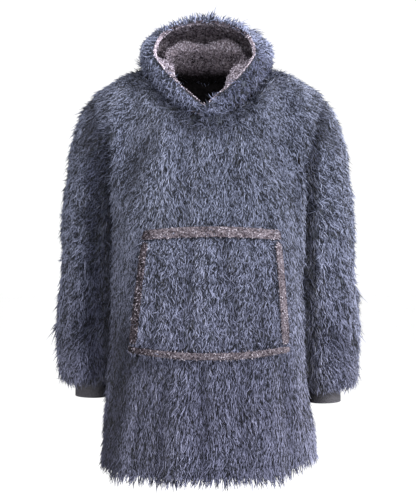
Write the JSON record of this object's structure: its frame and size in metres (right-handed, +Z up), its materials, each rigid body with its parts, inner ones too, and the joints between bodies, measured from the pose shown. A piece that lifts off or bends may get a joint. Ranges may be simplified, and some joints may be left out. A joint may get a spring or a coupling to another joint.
{
  "type": "wearable blanket hoodie",
  "caption": "Long shaggy plush pullover with a plush lined hood, wide sleeves in knitted cuffs and a pouch pocket edged in plush, filled out as worn.",
  "frame": {"origin": "centre of the neck, level with the wearer's shoulders that the garment hangs on", "axes": "+Z up, +X towards the wearer's left, -Y towards the front"},
  "size_m": [0.6538, 0.3667, 0.9604],
  "materials": {
    "fur_cloth": "long shaggy pile, matte",
    "plush_cloth": "short curled pile, matte",
    "knit_cloth": "fine rib knit, matte"
  },
  "bodies": {
    "root": {"front": "fur_cloth", "back": "fur_cloth", "sleeve_left": "fur_cloth", "sleeve_right": "fur_cloth", "hood_left": "fur_cloth", "hood_right": "fur_cloth", "pocket": "fur_cloth", "hood_lining_left": "plush_cloth", "hood_lining_right": "plush_cloth", "hood_edge": "plush_cloth", "pocket_band_top": "plush_cloth", "pocket_band_bottom": "plush_cloth", "pocket_band_left": "plush_cloth", "pocket_band_right": "plush_cloth", "cuff_left": "knit_cloth", "cuff_right": "knit_cloth"}
  },
  "joints": []
}
